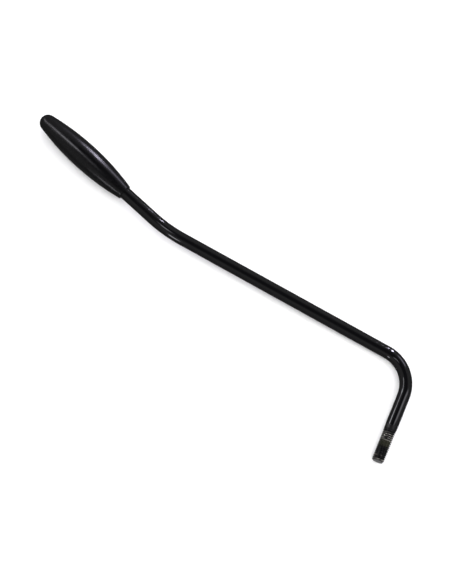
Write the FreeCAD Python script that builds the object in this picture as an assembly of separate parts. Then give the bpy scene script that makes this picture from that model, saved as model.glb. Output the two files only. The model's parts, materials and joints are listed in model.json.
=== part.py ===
import FreeCAD, Part
import math
import os

# Tremolo arm: a bent steel rod that screws into a guitar bridge, with a push-on plastic tip.
#
# Units are millimetres. The arm lies flat as it would on a table, +Z up.
# The origin is on the axis of the threaded leg, at the shoulder where the thread starts.
# The leg runs along Y: the thread points to -Y, the smooth shank to +Y.
# The arm then runs out along -X, and its grip end carries the tip.

Vector = FreeCAD.Vector

# Rod
rod_diameter = 5.0
rod_chamfer = 0.5             # at the end inside the tip

# Bent shape of the rod, along its centre line and in its own plane
elbow_height = 24.2           # thread shoulder to the corner of the elbow
elbow_angle = 97.4            # degrees between the leg and the arm
elbow_radius = 14.0
arm_length = 110.4            # elbow corner to the corner of the grip bend
grip_turn = 13.5              # degrees by which the grip turns further from the leg
grip_radius = 60.0
grip_length = 67.2            # corner of the grip bend to the nose of the tip

# Thread on the leg, M5 x 0.8
thread_length = 15.5          # shoulder to the end face
thread_major = 4.9
thread_pitch = 0.8
thread_depth = 0.6134 * thread_pitch
thread_crest = thread_pitch / 8
thread_flank = 30.0           # degrees, half of the 60 degree form
thread_chamfer = 0.55         # at the end face
shoulder_length = 0.7         # taper from the shank down to the thread
neck_length = 1.3             # full-diameter neck between the taper and the first groove
runout_length = 1.4           # cone on which the first groove deepens
cutter_margin = 0.3           # how far the cutter stands out of the rod

# Tip
tip_length = 45.0
tip_radius = 5.22             # at the fullest place
tip_full_at = 23.4            # from the nose to the fullest place
tip_flank_radius = 109.0      # of the long arc along the side
tip_nose_radius = 3.33
tip_mouth_round = 0.25        # rounded edge at the mouth
bore_radius = 2.53            # running clearance of 0.03 around the rod
bore_depth = 28.0
bore_lead = 0.15              # chamfer at the mouth
rod_in_tip = 27.0             # length of rod inside the tip

rod_radius = rod_diameter / 2


def unit(angle):
    """Direction in the rod's plane; 0 degrees is -X and 90 degrees is +Y."""
    turn = math.radians(angle)
    return Vector(-math.cos(turn), math.sin(turn), 0)


arm_direction = unit(elbow_angle - 90)
grip_direction = unit(elbow_angle - 90 + grip_turn)
elbow_corner = Vector(0, elbow_height, 0)
grip_corner = elbow_corner + arm_direction * arm_length
nose = grip_corner + grip_direction * grip_length
mouth = nose - grip_direction * tip_length
rod_end = mouth + grip_direction * rod_in_tip


def lie_flat(shape):
    """Tilt the shape about the leg so that the leg and the fullest place of the tip rest on one plane."""
    fullest = nose - grip_direction * tip_full_at
    tilt = math.asin((tip_radius - rod_radius) / -fullest.x)
    shape.rotate(Vector(0, 0, 0), Vector(0, 1, 0), math.degrees(tilt))
    return shape


def rounded_corner(before, corner, after, radius):
    """Arc that rounds a corner between two straight runs, with its start and end points."""
    into = (before - corner).normalize()
    out = (after - corner).normalize()
    half = into.getAngle(out) / 2
    start = corner + into * (radius / math.tan(half))
    end = corner + out * (radius / math.tan(half))
    middle = (into + out).normalize()
    centre = corner + middle * (radius / math.sin(half))
    return start, centre - middle * radius, end


def rod_path():
    """Centre line of the rod from the shoulder to its end inside the tip."""
    shoulder = Vector(0, 0, 0)
    elbow = rounded_corner(shoulder, elbow_corner, grip_corner, elbow_radius)
    bend = rounded_corner(elbow_corner, grip_corner, rod_end, grip_radius)
    return Part.Wire([
        Part.LineSegment(shoulder, elbow[0]).toShape(),
        Part.Arc(*elbow).toShape(),
        Part.LineSegment(elbow[2], bend[0]).toShape(),
        Part.Arc(*bend).toShape(),
        Part.LineSegment(bend[2], rod_end).toShape(),
    ])


def bent_rod():
    """The smooth rod, chamfered at the end inside the tip."""
    section = Part.Wire(Part.Circle(Vector(0, 0, 0), Vector(0, 1, 0), rod_radius).toShape())
    rod = rod_path().makePipeShell([section], True, False)
    end_edges = [e for e in rod.Edges if (e.CenterOfMass - rod_end).Length < rod_chamfer]
    return rod.makeChamfer(rod_chamfer, end_edges)


def turned(outline):
    """Solid turned about the leg's axis from an outline of (radius, y) corners."""
    face = Part.Face(Part.makePolygon([Vector(r, y, 0) for r, y in outline + outline[:1]]))
    return face.revolve(Vector(0, 0, 0), Vector(0, 1, 0), 360)


def thread_groove():
    """Helical V groove that starts on the neck and runs out past the end face."""
    major = thread_major / 2
    slope = math.tan(math.radians(thread_flank))
    top = thread_pitch - thread_crest
    half_top = top / 2 + cutter_margin * slope
    half_root = top / 2 - thread_depth * slope
    first = shoulder_length + neck_length - half_top
    helix = Part.makeHelix(thread_pitch, thread_length + 2 * thread_pitch - first, major)
    corners = [
        Vector(major - thread_depth, 0, -half_root),
        Vector(major + cutter_margin, 0, -half_top),
        Vector(major + cutter_margin, 0, half_top),
        Vector(major - thread_depth, 0, half_root),
    ]
    profile = Part.makePolygon(corners + corners[:1])
    groove = Part.Wire(helix.Edges).makePipeShell([profile], True, True)
    groove.rotate(Vector(0, 0, 0), Vector(1, 0, 0), 90)
    groove.translate(Vector(0, -first, 0))
    return groove


def threaded_leg():
    """Threaded end of the leg, from the shoulder to the chamfered end face."""
    major = thread_major / 2
    root = major - thread_depth
    outside = major + cutter_margin
    neck_end = shoulder_length + neck_length
    # The stock is longer than the thread, so that the groove never crosses its end face
    stock_length = thread_length + 3 * thread_pitch
    stock = Part.makeCylinder(major, stock_length, Vector(0, 0, 0), Vector(0, -1, 0))
    grooved = stock.cut(thread_groove())
    kept = turned([
        (0, -neck_end),
        (outside, -neck_end),
        (outside, thread_chamfer + cutter_margin - thread_length),
        (major - thread_chamfer, -thread_length),
        (0, -thread_length),
    ])
    neck = turned([
        (0, 0),
        (rod_radius, 0),
        (major, -shoulder_length),
        (major, -neck_end),
        (root, -neck_end - runout_length),
        (0, -neck_end - runout_length),
    ])
    return grooved.common(kept).fuse(neck)


def make_arm():
    """Bent rod and threaded leg as one piece of steel."""
    arm = bent_rod().fuse(threaded_leg())
    return lie_flat(arm.Solids[0])


def tip_outline_radius(distance):
    """Radius of the tip at a distance from its nose, on the long arc."""
    along = distance - tip_full_at
    return tip_radius - tip_flank_radius + math.sqrt(tip_flank_radius ** 2 - along ** 2)


def make_tip():
    """Bullet-shaped tip with a blind bore, made along +X from its nose and then set on the grip."""
    # The nose sphere touches the long arc from inside
    arc_centre = Vector(tip_full_at, tip_radius - tip_flank_radius, 0)
    nose_reach = tip_flank_radius - tip_nose_radius
    nose_x = arc_centre.x - math.sqrt(nose_reach ** 2 - arc_centre.y ** 2)
    nose_centre = Vector(nose_x, 0, 0)
    touch = nose_centre + (nose_centre - arc_centre).normalize() * tip_nose_radius
    front = Vector(nose_x - tip_nose_radius, 0, 0)
    lean = (touch - nose_centre).getAngle(front - nose_centre) / 2
    nose_mid = nose_centre + Vector(-math.cos(lean), math.sin(lean), 0) * tip_nose_radius
    end = front.x + tip_length
    flank_end_x = end - tip_mouth_round
    flank_end = Vector(flank_end_x, tip_outline_radius(flank_end_x), 0)
    mouth_edge = Vector(end, flank_end.y - tip_mouth_round, 0)
    round_mid = Vector(
        end - tip_mouth_round * (1 - math.sqrt(0.5)),
        flank_end.y - tip_mouth_round * (1 - math.sqrt(0.5)),
        0,
    )
    edges = [
        Part.Arc(front, nose_mid, touch).toShape(),
        Part.Arc(touch, Vector(tip_full_at, tip_radius, 0), flank_end).toShape(),
        Part.Arc(flank_end, round_mid, mouth_edge).toShape(),
        Part.LineSegment(mouth_edge, Vector(end, 0, 0)).toShape(),
        Part.LineSegment(Vector(end, 0, 0), front).toShape(),
    ]
    body = Part.Face(Part.Wire(edges)).revolve(Vector(0, 0, 0), Vector(1, 0, 0), 360)
    inward = Vector(-1, 0, 0)
    mouth_centre = Vector(end, 0, 0)
    bore = Part.makeCylinder(bore_radius, bore_depth, mouth_centre, inward)
    lead = Part.makeCone(bore_radius + bore_lead, bore_radius, bore_lead, mouth_centre, inward)
    tip = body.cut(bore.fuse(lead))
    tip.translate(Vector(-front.x, 0, 0))
    turn = FreeCAD.Rotation(Vector(-1, 0, 0), grip_direction)
    tip.Placement = FreeCAD.Placement(nose, turn).multiply(tip.Placement)
    return lie_flat(tip.Solids[0])


os.makedirs("parts", exist_ok=True)
for name, solid in (("arm_rod", make_arm()), ("grip_tip", make_tip())):
    print(name, "valid", solid.isValid(), "volume", round(solid.Volume, 1), solid.BoundBox)
    solid.exportStep("parts/" + name + ".step")
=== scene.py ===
import json
import math
import bmesh
import bpy
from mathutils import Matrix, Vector


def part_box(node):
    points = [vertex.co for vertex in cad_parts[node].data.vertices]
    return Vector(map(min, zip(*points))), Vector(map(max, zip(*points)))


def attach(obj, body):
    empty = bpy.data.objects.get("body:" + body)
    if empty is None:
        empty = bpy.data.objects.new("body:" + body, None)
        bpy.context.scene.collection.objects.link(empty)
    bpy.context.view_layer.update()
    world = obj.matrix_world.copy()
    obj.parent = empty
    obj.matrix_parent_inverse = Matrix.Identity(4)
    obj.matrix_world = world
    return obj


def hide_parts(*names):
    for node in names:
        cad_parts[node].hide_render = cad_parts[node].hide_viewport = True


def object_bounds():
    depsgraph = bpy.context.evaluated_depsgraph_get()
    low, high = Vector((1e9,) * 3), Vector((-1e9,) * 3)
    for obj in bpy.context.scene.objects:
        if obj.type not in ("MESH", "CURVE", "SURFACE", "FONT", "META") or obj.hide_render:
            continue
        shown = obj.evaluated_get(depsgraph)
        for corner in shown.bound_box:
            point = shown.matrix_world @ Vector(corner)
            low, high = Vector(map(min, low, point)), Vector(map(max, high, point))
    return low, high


# Tremolo arm: a bent black steel rod with a threaded leg, and a push-on plastic tip.
# Lengths are in metres. MM turns millimetres into metres.
MM = 0.001

# Bends of the rod
ELBOW_RADIUS = 14.0 * MM
GRIP_RADIUS = 60.0 * MM
GRIP_TURN = math.radians(13.5)
ROD_CHAMFER = 0.5 * MM
ROD_IN_TIP = 27.0 * MM

# Thread on the leg
PITCH = 0.8 * MM
THREAD_DEPTH = 0.6134 * PITCH
THREAD_CREST = PITCH / 8
THREAD_FLANK = math.radians(30)
THREAD_CHAMFER = 0.55 * MM
SHOULDER = 0.7 * MM
NECK = 1.3 * MM
RUNOUT = 1.4 * MM
FIRST_CREST = 1.477 * MM      # below the shoulder, on the side of the rod's plane
CREST_ROUND = 0.03 * MM
ROOT_ROUND = 0.06 * MM

# Tip
TIP_RADIUS = 5.219 * MM
TIP_FULL_AT = 23.4 * MM       # from the nose to the fullest place
TIP_LENGTH = 45.0 * MM
TIP_FLANK_RADIUS = 109.0 * MM
TIP_NOSE_RADIUS = 3.33 * MM
TIP_MOUTH_ROUND = 0.25 * MM
BORE_RADIUS = 2.53 * MM
BORE_DEPTH = 28.0 * MM
BORE_LEAD = 0.15 * MM

# Fineness of the meshes
ROD_COLUMNS = 96
TIP_COLUMNS = 144
RUN_STEP = 2.0 * MM
BEND_STEP = math.radians(1.5)
NOSE_STEPS, FLANK_STEPS, MOUTH_STEPS = 20, 40, 6
SHARP_EDGE = math.radians(28)
WELD = 2e-7

# Finish of the rod
COATING = (0.0018, 0.0018, 0.0022, 1)
THIN_COATING = (0.018, 0.018, 0.011, 1)
STEEL = (0.85, 0.82, 0.74, 1)
# Grey of the end face and half its chamfer: the bare cut end of the steel, made lighter as a painted
# highlight of the end's lit facet
BARE_END_AND_PAINTED_HIGHLIGHT = (0.11, 0.11, 0.11, 1)
COATING_ROUGHNESS = (0.03, 0.06)
DULL_ROUGHNESS, STEEL_ROUGHNESS, END_ROUGHNESS = 0.36, 0.16, 0.5
RIPPLE_DEPTH = 0.012 * MM

# Wear on the thread. A band is where it starts, is full, begins to fade and ends, below the shoulder.
WORN_BAND = (3.6 * MM, 4.3 * MM, 6.5 * MM, 7.1 * MM)
SPECK_BAND = (12.6 * MM, 13.6 * MM, 15.2 * MM, 15.4 * MM)
THIN_BAND = (6.2 * MM, 7.2 * MM, 8.6 * MM, 10.0 * MM)
CREST_WEAR = 0.14 * MM        # depth below the crest to which the steel is bare
FACE_WEAR_AND_HIGHLIGHT = 0.35 * MM         # depth above the end face to which it is bare and painted lighter as a highlight

# Finish of the tip
PLASTIC_DARK = (0.0006, 0.0006, 0.0009, 1)
PLASTIC_LIGHT = (0.0014, 0.0014, 0.0018, 1)
PLASTIC_SPECULAR = 0.38
HANDLED_ROUGHNESS, MOULDED_ROUGHNESS = 0.19, 0.22
HANDLED_TO, MOULDED_FROM = 4.0 * MM, 20.0 * MM      # from the fullest place
CLOUD_ROUGHNESS = 0.04
GRAIN_DEPTH = 0.004 * MM

# Extra roughness in the hairlines
COATING_SCRATCH, PLASTIC_SCRATCH = 0.15, 0.08

# Noise, in features to the metre
HAZE_NOISE, CLOUD_NOISE = 120, 160
HAIRLINE_NOISE, HAIRLINE_PATCHES = 210, 70
WEAR_NOISE = 900
RIPPLE_NOISE, FINE_RIPPLE_NOISE = 260, 1400
GRAIN_NOISE, FINE_GRAIN_NOISE = 500, 2600
FINE_RIPPLE_SHARE, FINE_GRAIN_SHARE = 0.12, 0.25

# Values of the noise between which a mark fades in or out
HAZE_EDGE, CLOUD_EDGE = (0.35, 0.75), (0.35, 0.7)
HAIRLINE_EDGE, HAIRLINE_PATCH_EDGE = (0.001, 0.005), (0.52, 0.6)
WORN_EDGE, SPECK_EDGE = (0.34, 0.44), (0.5, 0.6)

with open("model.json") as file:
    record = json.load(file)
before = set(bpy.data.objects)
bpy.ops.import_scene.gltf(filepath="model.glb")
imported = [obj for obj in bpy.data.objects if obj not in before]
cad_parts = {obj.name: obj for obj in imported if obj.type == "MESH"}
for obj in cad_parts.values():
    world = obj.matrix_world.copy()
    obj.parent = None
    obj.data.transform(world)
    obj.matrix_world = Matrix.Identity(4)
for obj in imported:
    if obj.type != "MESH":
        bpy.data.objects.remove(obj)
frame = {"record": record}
cad_low, cad_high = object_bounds()
record = frame["record"]
mounts = {m["name"]: m for m in record["mounts"]}
thread, shank = mounts["bridge_thread"], mounts["shank"]

shoulder = Vector(thread["pos_m"])
leg_down = Vector(thread["axis"]).normalized()
leg_up = -leg_down
thread_length = thread["dims"]["length_mm"] * MM
thread_radius = thread["dims"]["r_mm"] * MM
rod_radius = shank["dims"]["r_mm"] * MM
shank_length = shank["dims"]["length_mm"] * MM
grip_out = Vector(record["behaviour"]["joints"][0]["axis"]).normalized()
plane_normal = leg_up.cross(grip_out).normalized()


# ---------------------------------------------------------------- places on the object

def turned(direction, angle):
    """A direction in the rod's plane, turned about the plane's normal."""
    side = plane_normal.cross(direction)
    return direction * math.cos(angle) + side * math.sin(angle)


def in_plane(point):
    """The point moved straight up or down on to the rod's plane."""
    gap = (point - shoulder).dot(plane_normal) / plane_normal.z
    return point - Vector((0, 0, gap))


def meeting(point_a, direction_a, point_b, direction_b):
    """Where two lines in the rod's plane meet."""
    across = plane_normal.cross(direction_b)
    return point_a + direction_a * ((point_b - point_a).dot(across) / direction_a.dot(across))


# The nose is a ball that touches the tip's box on two sides
tip_low, tip_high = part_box("grip_tip")
nose_centre = in_plane(Vector((tip_low[0] + TIP_NOSE_RADIUS, tip_high[1] - TIP_NOSE_RADIUS, 0)))
nose = nose_centre + grip_out * TIP_NOSE_RADIUS
mouth = nose - grip_out * TIP_LENGTH
rod_end = mouth + grip_out * ROD_IN_TIP

elbow_turn = grip_out.angle(leg_up) + GRIP_TURN
arm_out = turned(leg_up, elbow_turn)
elbow_start = shoulder + leg_up * shank_length
elbow_corner = elbow_start + leg_up * (ELBOW_RADIUS * math.tan(elbow_turn / 2))
grip_corner = meeting(elbow_corner, arm_out, nose, grip_out)


# ---------------------------------------------------------------- mesh helpers

def ring(centre, along, radius, columns):
    """Points of a circle round a centre, starting from the side of the rod's plane."""
    side = plane_normal.cross(along)
    turns = (2 * math.pi * j / columns for j in range(columns))
    return [centre + (side * math.cos(t) + plane_normal * math.sin(t)) * radius for t in turns]


def skin_rings(bm, rings):
    """Quads between rings of vertices, each ring closed on itself."""
    for low, high in zip(rings, rings[1:]):
        for j in range(len(low)):
            k = (j + 1) % len(low)
            bm.faces.new((low[j], low[k], high[k], high[j]))


def new_piece(name, bm):
    """The piece made from a finished bmesh, smooth except at its sharp edges."""
    bmesh.ops.recalc_face_normals(bm, faces=bm.faces)
    for face in bm.faces:
        face.smooth = True
    for edge in bm.edges:
        if len(edge.link_faces) == 2:
            edge.smooth = edge.calc_face_angle(0) < SHARP_EDGE
    mesh = bpy.data.meshes.new(name)
    bm.to_mesh(mesh)
    bm.free()
    piece = bpy.data.objects.new(name, mesh)
    bpy.context.scene.collection.objects.link(piece)
    return piece


# ---------------------------------------------------------------- the rod

def rod_stations():
    """(point, direction, radius) along the rod from the shoulder to its end inside the tip."""
    stations = []

    def run(start, end, direction):
        steps = max(1, round((end - start).length / RUN_STEP))
        for i in range(steps + 1):
            stations.append((start.lerp(end, i / steps), direction, rod_radius))

    def bend(start, direction, radius, angle):
        sign = math.copysign(1, angle)
        centre = start + plane_normal.cross(direction) * radius * sign
        steps = max(2, round(abs(angle) / BEND_STEP))
        for i in range(1, steps):
            heading = turned(direction, angle * i / steps)
            point = centre - plane_normal.cross(heading) * radius * sign
            stations.append((point, heading, rod_radius))

    grip_tangent = GRIP_RADIUS * math.tan(GRIP_TURN / 2)
    arm_start = elbow_corner + arm_out * (elbow_corner - elbow_start).length
    arm_end = grip_corner - arm_out * grip_tangent
    grip_start = grip_corner + grip_out * grip_tangent
    run(shoulder, elbow_start, leg_up)
    bend(elbow_start, leg_up, ELBOW_RADIUS, elbow_turn)
    run(arm_start, arm_end, arm_out)
    bend(arm_end, arm_out, GRIP_RADIUS, -GRIP_TURN)
    run(grip_start, rod_end - grip_out * ROD_CHAMFER, grip_out)
    stations.append((rod_end, grip_out, rod_radius - ROD_CHAMFER))
    return stations


def thread_profile():
    """(place along the pitch, depth below the crest) over one pitch, with rounded corners."""
    slope = math.tan(THREAD_FLANK)
    crest = THREAD_CREST / 2
    root = crest + THREAD_DEPTH * slope
    # After the middle of the crest, three points round the crest's edge and three round the root's
    half = [
        (0.0, 0.0),
        (crest - CREST_ROUND / 2, 0.0),
        (crest + CREST_ROUND * 0.2, CREST_ROUND * 0.3),
        (crest + CREST_ROUND * slope + CREST_ROUND * 0.3, CREST_ROUND * 1.5),
        (root - ROOT_ROUND * slope * 1.5, THREAD_DEPTH - ROOT_ROUND * 1.5),
        (root - ROOT_ROUND * 0.1, THREAD_DEPTH - ROOT_ROUND * 0.35),
        (root + ROOT_ROUND * 0.6, THREAD_DEPTH),
    ]
    back = [(PITCH - place, depth) for place, depth in reversed(half)]
    return half + back[:-1]


def surface_radius(down, depth):
    """Radius of the threaded end below the shoulder, where the thread would cut to a depth."""
    runout = (down - SHOULDER - NECK) / RUNOUT
    deepest = thread_radius - THREAD_DEPTH * min(max(runout, 0.0), 1.0)
    cone = thread_radius - THREAD_CHAMFER + (thread_length - down)
    return min(max(thread_radius - depth, deepest), cone)


def make_rod():
    """The bent rod with its thread as one closed skin."""
    bm = bmesh.new()
    side = plane_normal.cross(leg_up)

    def place(down, radius, j):
        angle = 2 * math.pi * j / ROD_COLUMNS
        spoke = side * math.cos(angle) + plane_normal * math.sin(angle)
        return bm.verts.new(shoulder + leg_down * down + spoke * radius)

    def level(down, radius):
        return [place(down, radius, j) for j in range(ROD_COLUMNS)]

    # Helical part: each row follows the right-hand helix, held between the neck and the end face
    top = SHOULDER + NECK * 0.5
    helix = []
    for turn in range(-1, round(thread_length / PITCH) + 1):
        for offset, depth in thread_profile():
            row = []
            for j in range(ROD_COLUMNS + 1):
                down = FIRST_CREST + turn * PITCH + offset - PITCH * j / ROD_COLUMNS
                inside = top < down < thread_length
                down = min(max(down, top), thread_length)
                row.append(place(down, surface_radius(down, depth if inside else 0), j))
            helix.append(row)
    for low, high in zip(helix, helix[1:]):
        for j in range(ROD_COLUMNS):
            bm.faces.new((low[j], low[j + 1], high[j + 1], high[j]))
    # Smooth part: neck and taper, then the rest of the rod
    rings = [level(top, thread_radius), level(SHOULDER, thread_radius)]
    for point, along, radius in rod_stations():
        rings.append([bm.verts.new(p) for p in ring(point, along, radius, ROD_COLUMNS)])
    skin_rings(bm, rings)
    bm.faces.new(rings[-1])
    bm.faces.new(list(reversed(level(thread_length, thread_radius - THREAD_CHAMFER))))
    bmesh.ops.remove_doubles(bm, verts=bm.verts, dist=WELD)
    bmesh.ops.dissolve_degenerate(bm, edges=bm.edges, dist=WELD)
    return new_piece("rod_skin", bm)


# ---------------------------------------------------------------- the tip

def arc_points(centre, radius, start, end, steps):
    """Points of an arc in (distance from the nose, radius) space, without its start."""
    angles = (start + (end - start) * i / steps for i in range(1, steps + 1))
    return [(centre[0] + radius * math.cos(a), centre[1] + radius * math.sin(a)) for a in angles]


def tip_outline():
    """(distance from the nose, radius) over the outside, into the mouth and down the bore."""
    flank = (TIP_FULL_AT, TIP_RADIUS - TIP_FLANK_RADIUS)
    reach = TIP_FLANK_RADIUS - TIP_NOSE_RADIUS
    nose_x = flank[0] - math.sqrt(reach ** 2 - flank[1] ** 2)
    shift = TIP_NOSE_RADIUS - nose_x
    touch = math.atan2(-flank[1], nose_x - flank[0])
    end = TIP_LENGTH - shift
    flank_end = end - TIP_MOUTH_ROUND
    last = math.acos((flank_end - flank[0]) / TIP_FLANK_RADIUS)
    points = arc_points((nose_x, 0), TIP_NOSE_RADIUS, math.pi, touch, NOSE_STEPS)
    points += arc_points(flank, TIP_FLANK_RADIUS, touch, last, FLANK_STEPS)
    rim = (flank_end, points[-1][1] - TIP_MOUTH_ROUND)
    points += arc_points(rim, TIP_MOUTH_ROUND, math.pi / 2, 0, MOUTH_STEPS)
    points += [
        (end, BORE_RADIUS + BORE_LEAD),
        (end - BORE_LEAD, BORE_RADIUS),
        (end - BORE_DEPTH / 2, BORE_RADIUS),
        (end - BORE_DEPTH, BORE_RADIUS),
    ]
    return [(x + shift, r) for x, r in points]


def make_tip():
    """The moulded tip as one closed skin, bore included."""
    bm = bmesh.new()
    rings = []
    for x, radius in tip_outline():
        points = ring(nose - grip_out * x, grip_out, radius, TIP_COLUMNS)
        rings.append([bm.verts.new(p) for p in points])
    skin_rings(bm, rings)
    bm.faces.new(list(reversed(rings[0])))
    bm.faces.new(rings[-1])
    return new_piece("tip_skin", bm)


# ---------------------------------------------------------------- materials

class Graph:
    """Short calls for adding linked nodes to a node tree."""

    def __init__(self, tree):
        self.tree = tree

    def put(self, socket, value):
        """Links another node's output to the socket, or sets the socket to a value."""
        if isinstance(value, bpy.types.NodeSocket):
            self.tree.links.new(value, socket)
        elif value is not None:
            socket.default_value = value

    def add(self, kind, *inputs, out=0, **settings):
        """One output of a new node with these inputs, in order. None leaves an input as it is."""
        node = self.tree.nodes.new(kind)
        for key, value in settings.items():
            setattr(node, key, value)
        for socket, value in zip(node.inputs, inputs):
            self.put(socket, value)
        return node.outputs[out]

    def math(self, operation, *inputs):
        return self.add("ShaderNodeMath", *inputs, operation=operation)

    def place(self):
        """The object's own coordinates."""
        return self.add("ShaderNodeTexCoord", out="Object")

    def vector(self, operation, *inputs, out="Vector"):
        return self.add("ShaderNodeVectorMath", *inputs, operation=operation, out=out)

    def dot(self, way, axis):
        return self.vector("DOT_PRODUCT", way, axis, out="Value")

    def scaled(self, colour, factor):
        """A fixed vector or colour times a number that varies."""
        return self.vector("SCALE", colour, None, None, factor)

    def blend(self, fac, first, second):
        """Colour that runs from first to second."""
        gap = (None,) * 5
        return self.add("ShaderNodeMix", fac, *gap, first, second, data_type="RGBA", out=2)

    def mix(self, fac, first, second):
        """Number that runs from first to second."""
        return self.add("ShaderNodeMix", fac, None, first, second)

    def noise(self, place, scale, detail=2.0):
        """Noise around 0.5 with a given number of features to the metre."""
        return self.add("ShaderNodeTexNoise", place, None, scale, detail, 0.5)

    def bump(self, height, depth):
        """Normal of a surface raised by height times a depth in metres."""
        node = self.tree.nodes.new("ShaderNodeBump")
        node.inputs["Strength"].default_value = 1.0
        node.inputs["Distance"].default_value = depth
        self.put(node.inputs["Height"], height)
        return node.outputs["Normal"]

    def fade(self, value, low, high, at_low=1.0, at_high=0.0):
        """Smooth step from one level at low to another at high."""
        levels = (value, low, high, at_low, at_high)
        return self.add("ShaderNodeMapRange", *levels, interpolation_type="SMOOTHSTEP")

    def rise(self, value, low, high):
        """Smooth step from 0 at low to 1 at high."""
        return self.fade(value, low, high, 0, 1)


def node_material(name):
    """A new node material, its Principled node and its graph."""
    material = bpy.data.materials.new(name)
    material.use_nodes = True
    return material, material.node_tree.nodes["Principled BSDF"], Graph(material.node_tree)


def hairlines(graph, place):
    """1 on sparse, thin, curved scratches and 0 elsewhere."""
    centred = graph.math("SUBTRACT", graph.noise(place, HAIRLINE_NOISE, 1), 0.5)
    line = graph.fade(graph.math("ABSOLUTE", centred), *HAIRLINE_EDGE)
    where = graph.rise(graph.noise(place, HAIRLINE_PATCHES), *HAIRLINE_PATCH_EDGE)
    return graph.math("MULTIPLY", line, where)


def thread_wear(graph, place):
    """(bare crest, thinned coating, dull finish, bare end face with a painted highlight) on the
    threaded end, each 0 to 1.
    """
    offset = graph.vector("SUBTRACT", place, tuple(shoulder))
    down = graph.dot(offset, tuple(leg_down))
    out = graph.vector("DISTANCE", offset, graph.scaled(tuple(leg_down), down), out="Value")
    crest = graph.rise(out, thread_radius - CREST_WEAR, thread_radius - CREST_WEAR / 3)
    patches = graph.noise(place, WEAR_NOISE)

    def band(start, full, fade_from, end):
        return graph.math("MULTIPLY", graph.rise(down, start, full), graph.fade(down, fade_from, end))

    worn = graph.math("MULTIPLY", band(*WORN_BAND), graph.rise(patches, *WORN_EDGE))
    specks = graph.math("MULTIPLY", band(*SPECK_BAND), graph.rise(patches, *SPECK_EDGE))
    bare = graph.math("MULTIPLY", crest, graph.math("MAXIMUM", worn, specks))
    dull = graph.rise(down, SHOULDER / 2, SHOULDER)
    # Bare cut end with a painted highlight: the end face and half its chamfer turn light grey
    face = graph.rise(down, thread_length - FACE_WEAR_AND_HIGHLIGHT, thread_length - FACE_WEAR_AND_HIGHLIGHT / 4)
    return bare, band(*THIN_BAND), dull, face


def make_coating():
    """Gloss black coating with ripple and haze, dull on the thread and worn to steel on its crests."""
    material, shader, graph = node_material("black_coating")
    place = graph.place()
    bare, thin, dull, face = thread_wear(graph, place)
    colour = graph.blend(thin, COATING, THIN_COATING)
    # Light grey end: bare steel with a painted highlight of the end's lit facet
    colour = graph.blend(face, colour, BARE_END_AND_PAINTED_HIGHLIGHT)
    graph.put(shader.inputs["Base Color"], graph.blend(bare, colour, STEEL))
    graph.put(shader.inputs["Metallic"], bare)
    haze = graph.fade(graph.noise(place, HAZE_NOISE, 4), *HAZE_EDGE, *COATING_ROUGHNESS)
    rough = graph.math("MULTIPLY_ADD", hairlines(graph, place), COATING_SCRATCH, haze)
    for mask, level in ((dull, DULL_ROUGHNESS), (bare, STEEL_ROUGHNESS), (face, END_ROUGHNESS)):
        rough = graph.mix(mask, rough, level)
    graph.put(shader.inputs["Roughness"], rough)
    fine = graph.noise(place, FINE_RIPPLE_NOISE)
    ripple = graph.math("MULTIPLY_ADD", fine, FINE_RIPPLE_SHARE, graph.noise(place, RIPPLE_NOISE))
    graph.put(shader.inputs["Normal"], graph.bump(ripple, RIPPLE_DEPTH))
    return material


def make_plastic():
    """Black moulded plastic with a fine grain, polished by handling where the tip is fullest."""
    material, shader, graph = node_material("black_tip_plastic")
    place = graph.place()
    cloud = graph.noise(place, CLOUD_NOISE, 4)
    graph.put(shader.inputs["Base Color"], graph.blend(cloud, PLASTIC_DARK, PLASTIC_LIGHT))
    shader.inputs["Specular IOR Level"].default_value = PLASTIC_SPECULAR
    fullest = tuple(nose - grip_out * TIP_FULL_AT)
    away = graph.vector("DISTANCE", place, fullest, out="Value")
    handled = graph.fade(away, HANDLED_TO, MOULDED_FROM, HANDLED_ROUGHNESS, MOULDED_ROUGHNESS)
    varied = graph.math("ADD", handled, graph.fade(cloud, *CLOUD_EDGE, 0.0, CLOUD_ROUGHNESS))
    rough = graph.math("MULTIPLY_ADD", hairlines(graph, place), PLASTIC_SCRATCH, varied)
    graph.put(shader.inputs["Roughness"], rough)
    fine = graph.noise(place, FINE_GRAIN_NOISE)
    grain = graph.math("MULTIPLY_ADD", fine, FINE_GRAIN_SHARE, graph.noise(place, GRAIN_NOISE))
    graph.put(shader.inputs["Normal"], graph.bump(grain, GRAIN_DEPTH))
    return material


# ---------------------------------------------------------------- stage

FLOOR_SIZE = 12.0
FLOOR_COLOUR = (0.86, 0.86, 0.86, 1)
FLOOR_ROUGHNESS = 0.9

CAMERA_AZIMUTH = math.radians(22.18)
CAMERA_ELEVATION = math.radians(75.0)
CAMERA_DISTANCE = 1.008
CAMERA_SENSOR = 36.0          # mm along the picture's long side
CAMERA_LENS = 160.27
CAMERA_AIM = Vector((6.32, 0.12, 0.0)) * MM

# Bearings run anticlockwise from the picture's right and zeniths down from straight up, in degrees.
COOL = (0.84, 0.8, 1.0)
PALE = (0.94, 0.93, 1.0)

# Broad light that only whitens the floor, as (name, bearing, zenith, angle, irradiance): it has no
# mirror image on the black pieces. The fill comes from the other side and softens the shadows.
WASHES = (
    ("wash", -4.0, 28.0, 110.0, 4.2),
    ("fill", 157.5, 26.0, 22.0, 0.56),
)

# The room that the pieces mirror. Brightness is in units of the white floor's.
ROOM_LIGHT = 0.33
CEILING_LIGHT = 0.03
CEILING_BEARING, CEILING_ZENITH = -45.0, 6.0
CEILING_EDGE = (24.0, 40.0)   # degrees from the ceiling's middle where the dark patch fades and ends
TABLE_LIGHT = 0.45            # share of the room's light that comes from below the horizon
TABLE_EDGE = (-0.2, 0.35)     # heights on the unit sphere between which that share fades in

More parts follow.
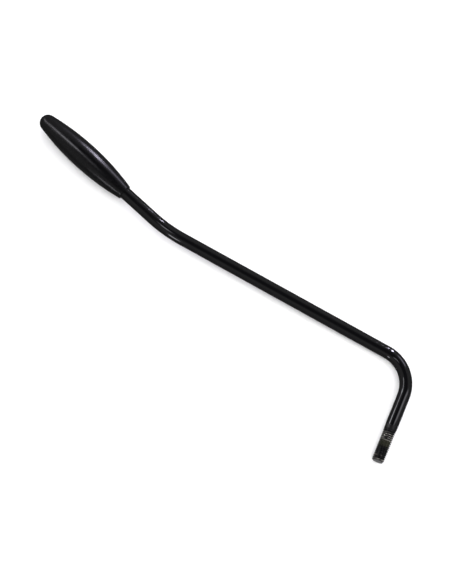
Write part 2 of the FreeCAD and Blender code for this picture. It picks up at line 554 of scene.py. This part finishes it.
# Softboxes as (bearing, zenith, run, width, length, edge, brightness, colour), with what each one
# lights. Run is the bearing of the long side, and sizes are in degrees as seen from the object.
SOFTBOXES = (
    (42, 62, 42, 13, 16, 2.0, 3.6, COOL),       # outside of the elbow, tip's right near its mouth
    (229, 74, 229, 5, 13, 1.0, 7.0, PALE),      # lower left of the grip's bend and of the tip's mouth
    (197, 15, 53, 2.5, 16, 0.8, 3.5, PALE),     # line along the grip's bend
    (147, 50, 106, 4, 36, 1.0, 10.0, PALE),     # left of the leg and of the tip
    (359, 42, 359, 8, 32, 3.0, 2.4, PALE),      # right of the leg
)

# Far strip lamps as (bearing, zenith, width, length, brightness), sizes in degrees: the first gives
# the tip its long highlight, the second makes small glints on the tip and the bends.
STRIPS = (
    (57.4, 64, 2.2, 24, 46.0),
    (61.8, 65, 0.6, 10, 55.0),
)
STRIP_DISTANCE = 20.0

# Small lamp over the table beside the tip, at a bearing and zenith from a place on the tip. It gives
# the tip its centre line and, since the elbow sees it low, a thin line on the inside of the elbow.
LAMP_BEARING, LAMP_ZENITH = 159.0, 26.0
LAMP_FROM = 15.0 * MM         # from the nose to that place
LAMP_HEIGHT = 0.156
LAMP_RUN = 147.0              # bearing of its long side
LAMP_WIDTH, LAMP_LENGTH = 0.030, 0.076
LAMP_BRIGHTNESS = 6.2


def towards(bearing, zenith):
    """Unit vector from the object at a bearing in the picture and an angle from straight up."""
    turn = math.radians(bearing) + CAMERA_AZIMUTH
    lean = math.radians(zenith)
    return Vector((math.cos(turn) * math.sin(lean), math.sin(turn) * math.sin(lean), math.cos(lean)))


def add_to_scene(name, data):
    thing = bpy.data.objects.new(name, data)
    bpy.context.scene.collection.objects.link(thing)
    return thing


def make_floor():
    size = FLOOR_SIZE / 2
    corners = [(-size, -size, 0), (size, -size, 0), (size, size, 0), (-size, size, 0)]
    mesh = bpy.data.meshes.new("floor")
    mesh.from_pydata(corners, [], [(0, 1, 2, 3)])
    material, shader, _ = node_material("pale_floor")
    shader.inputs["Base Color"].default_value = FLOOR_COLOUR
    shader.inputs["Roughness"].default_value = FLOOR_ROUGHNESS
    shader.inputs["Specular IOR Level"].default_value = 0.0
    mesh.materials.append(material)
    floor = add_to_scene("floor", mesh)
    floor.location.z = cad_low.z
    floor.visible_glossy = False


def make_camera():
    data = bpy.data.cameras.new("camera")
    data.lens = CAMERA_LENS
    data.sensor_width = CAMERA_SENSOR
    camera = add_to_scene("camera", data)
    centre = (cad_low + cad_high) / 2
    centre.z = shoulder.z
    flat = math.cos(CAMERA_ELEVATION)
    back = Vector((
        math.sin(CAMERA_AZIMUTH) * flat,
        -math.cos(CAMERA_AZIMUTH) * flat,
        math.sin(CAMERA_ELEVATION),
    ))
    camera.location = centre + CAMERA_AIM + back * CAMERA_DISTANCE
    camera.rotation_euler = (-back).to_track_quat("-Z", "Y").to_euler()
    bpy.context.scene.camera = camera


def make_wash(name, bearing, zenith, angle, irradiance):
    data = bpy.data.lights.new(name, "SUN")
    data.energy = irradiance
    data.angle = math.radians(angle)
    wash = add_to_scene(name, data)
    wash.rotation_euler = towards(bearing, zenith).to_track_quat("Z", "Y").to_euler()
    wash.visible_glossy = False


def make_panel(name, width, length, brightness, colour):
    """Rectangular lamp with its sides along its own X and Y, shining down its own -Z."""
    data = bpy.data.lights.new(name, "AREA")
    data.shape = "RECTANGLE"
    data.size = width
    data.size_y = length
    data.energy = brightness * math.pi * data.size * data.size_y
    data.color = colour
    return add_to_scene(name, data)


def make_strip(bearing, zenith, width, length, brightness):
    sizes = (STRIP_DISTANCE * math.radians(angle) for angle in (width, length))
    strip = make_panel("strip", *sizes, brightness, COOL)
    back = towards(bearing, zenith)
    strip.location = grip_corner + back * STRIP_DISTANCE
    strip.rotation_euler = back.to_track_quat("Z", "Y").to_euler()


def make_lamp():
    lamp = make_panel("lamp", LAMP_LENGTH, LAMP_WIDTH, LAMP_BRIGHTNESS, PALE)
    back = towards(LAMP_BEARING, LAMP_ZENITH)
    lamp.location = nose - grip_out * LAMP_FROM + back * (LAMP_HEIGHT / back.z)
    lamp.rotation_euler = (0, 0, math.radians(LAMP_RUN) + CAMERA_AZIMUTH)
    lamp.visible_diffuse = False
    lamp.visible_camera = False


def softbox_mask(graph, way, bearing, zenith, run, width, length, edge):
    """1 inside the softbox as seen from the object, 0 outside, with soft edges."""
    centre = towards(bearing, zenith)
    across = towards(run, 90).cross(centre).normalized()
    along = centre.cross(across)
    # On the far side the depth is held just above zero, so that the offsets there are large
    depth = graph.math("MAXIMUM", graph.dot(way, centre), 1e-3)
    sides = []
    for axis, size in ((across, width), (along, length)):
        offset = graph.math("ABSOLUTE", graph.math("DIVIDE", graph.dot(way, axis), depth))
        inner = math.tan(math.radians(max(size / 2 - edge, 0)))
        outer = math.tan(math.radians(size / 2 + edge))
        sides.append(graph.fade(offset, inner, outer))
    return graph.math("MULTIPLY", *sides)


def make_world():
    """The studio as the pieces mirror it: an even room, a dark patch overhead, and softboxes."""
    world = bpy.data.worlds.new("studio")
    bpy.context.scene.world = world
    world.use_nodes = True
    graph = Graph(world.node_tree)
    way = graph.add("ShaderNodeTexCoord", out="Generated")
    nearness = graph.dot(way, towards(CEILING_BEARING, CEILING_ZENITH))
    fade_from, fade_to = (math.cos(math.radians(a)) for a in CEILING_EDGE)
    light = graph.fade(nearness, fade_to, fade_from, ROOM_LIGHT, CEILING_LIGHT)
    share = graph.fade(graph.dot(way, (0, 0, 1)), *TABLE_EDGE, TABLE_LIGHT, 1.0)
    light = graph.math("MULTIPLY", light, share)
    colour = graph.add("ShaderNodeCombineColor", light, light, light)
    for *place, brightness, tint in SOFTBOXES:
        mask = softbox_mask(graph, way, *place)
        glow = graph.scaled(tuple(c * brightness for c in tint), mask)
        colour = graph.vector("ADD", colour, glow)
    background = world.node_tree.nodes["Background"]
    graph.put(background.inputs["Color"], colour)
    background.inputs["Strength"].default_value = 1.0


bpy.context.scene.view_settings.view_transform = "Standard"
make_floor()
make_camera()
for wash in WASHES:
    make_wash(*wash)
for strip in STRIPS:
    make_strip(*strip)
make_lamp()
make_world()

rod = make_rod()
rod.data.materials.append(make_coating())
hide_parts("arm_rod")
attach(rod, "arm")

tip = make_tip()
tip.data.materials.append(make_plastic())
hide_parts("grip_tip")
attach(tip, "tip")
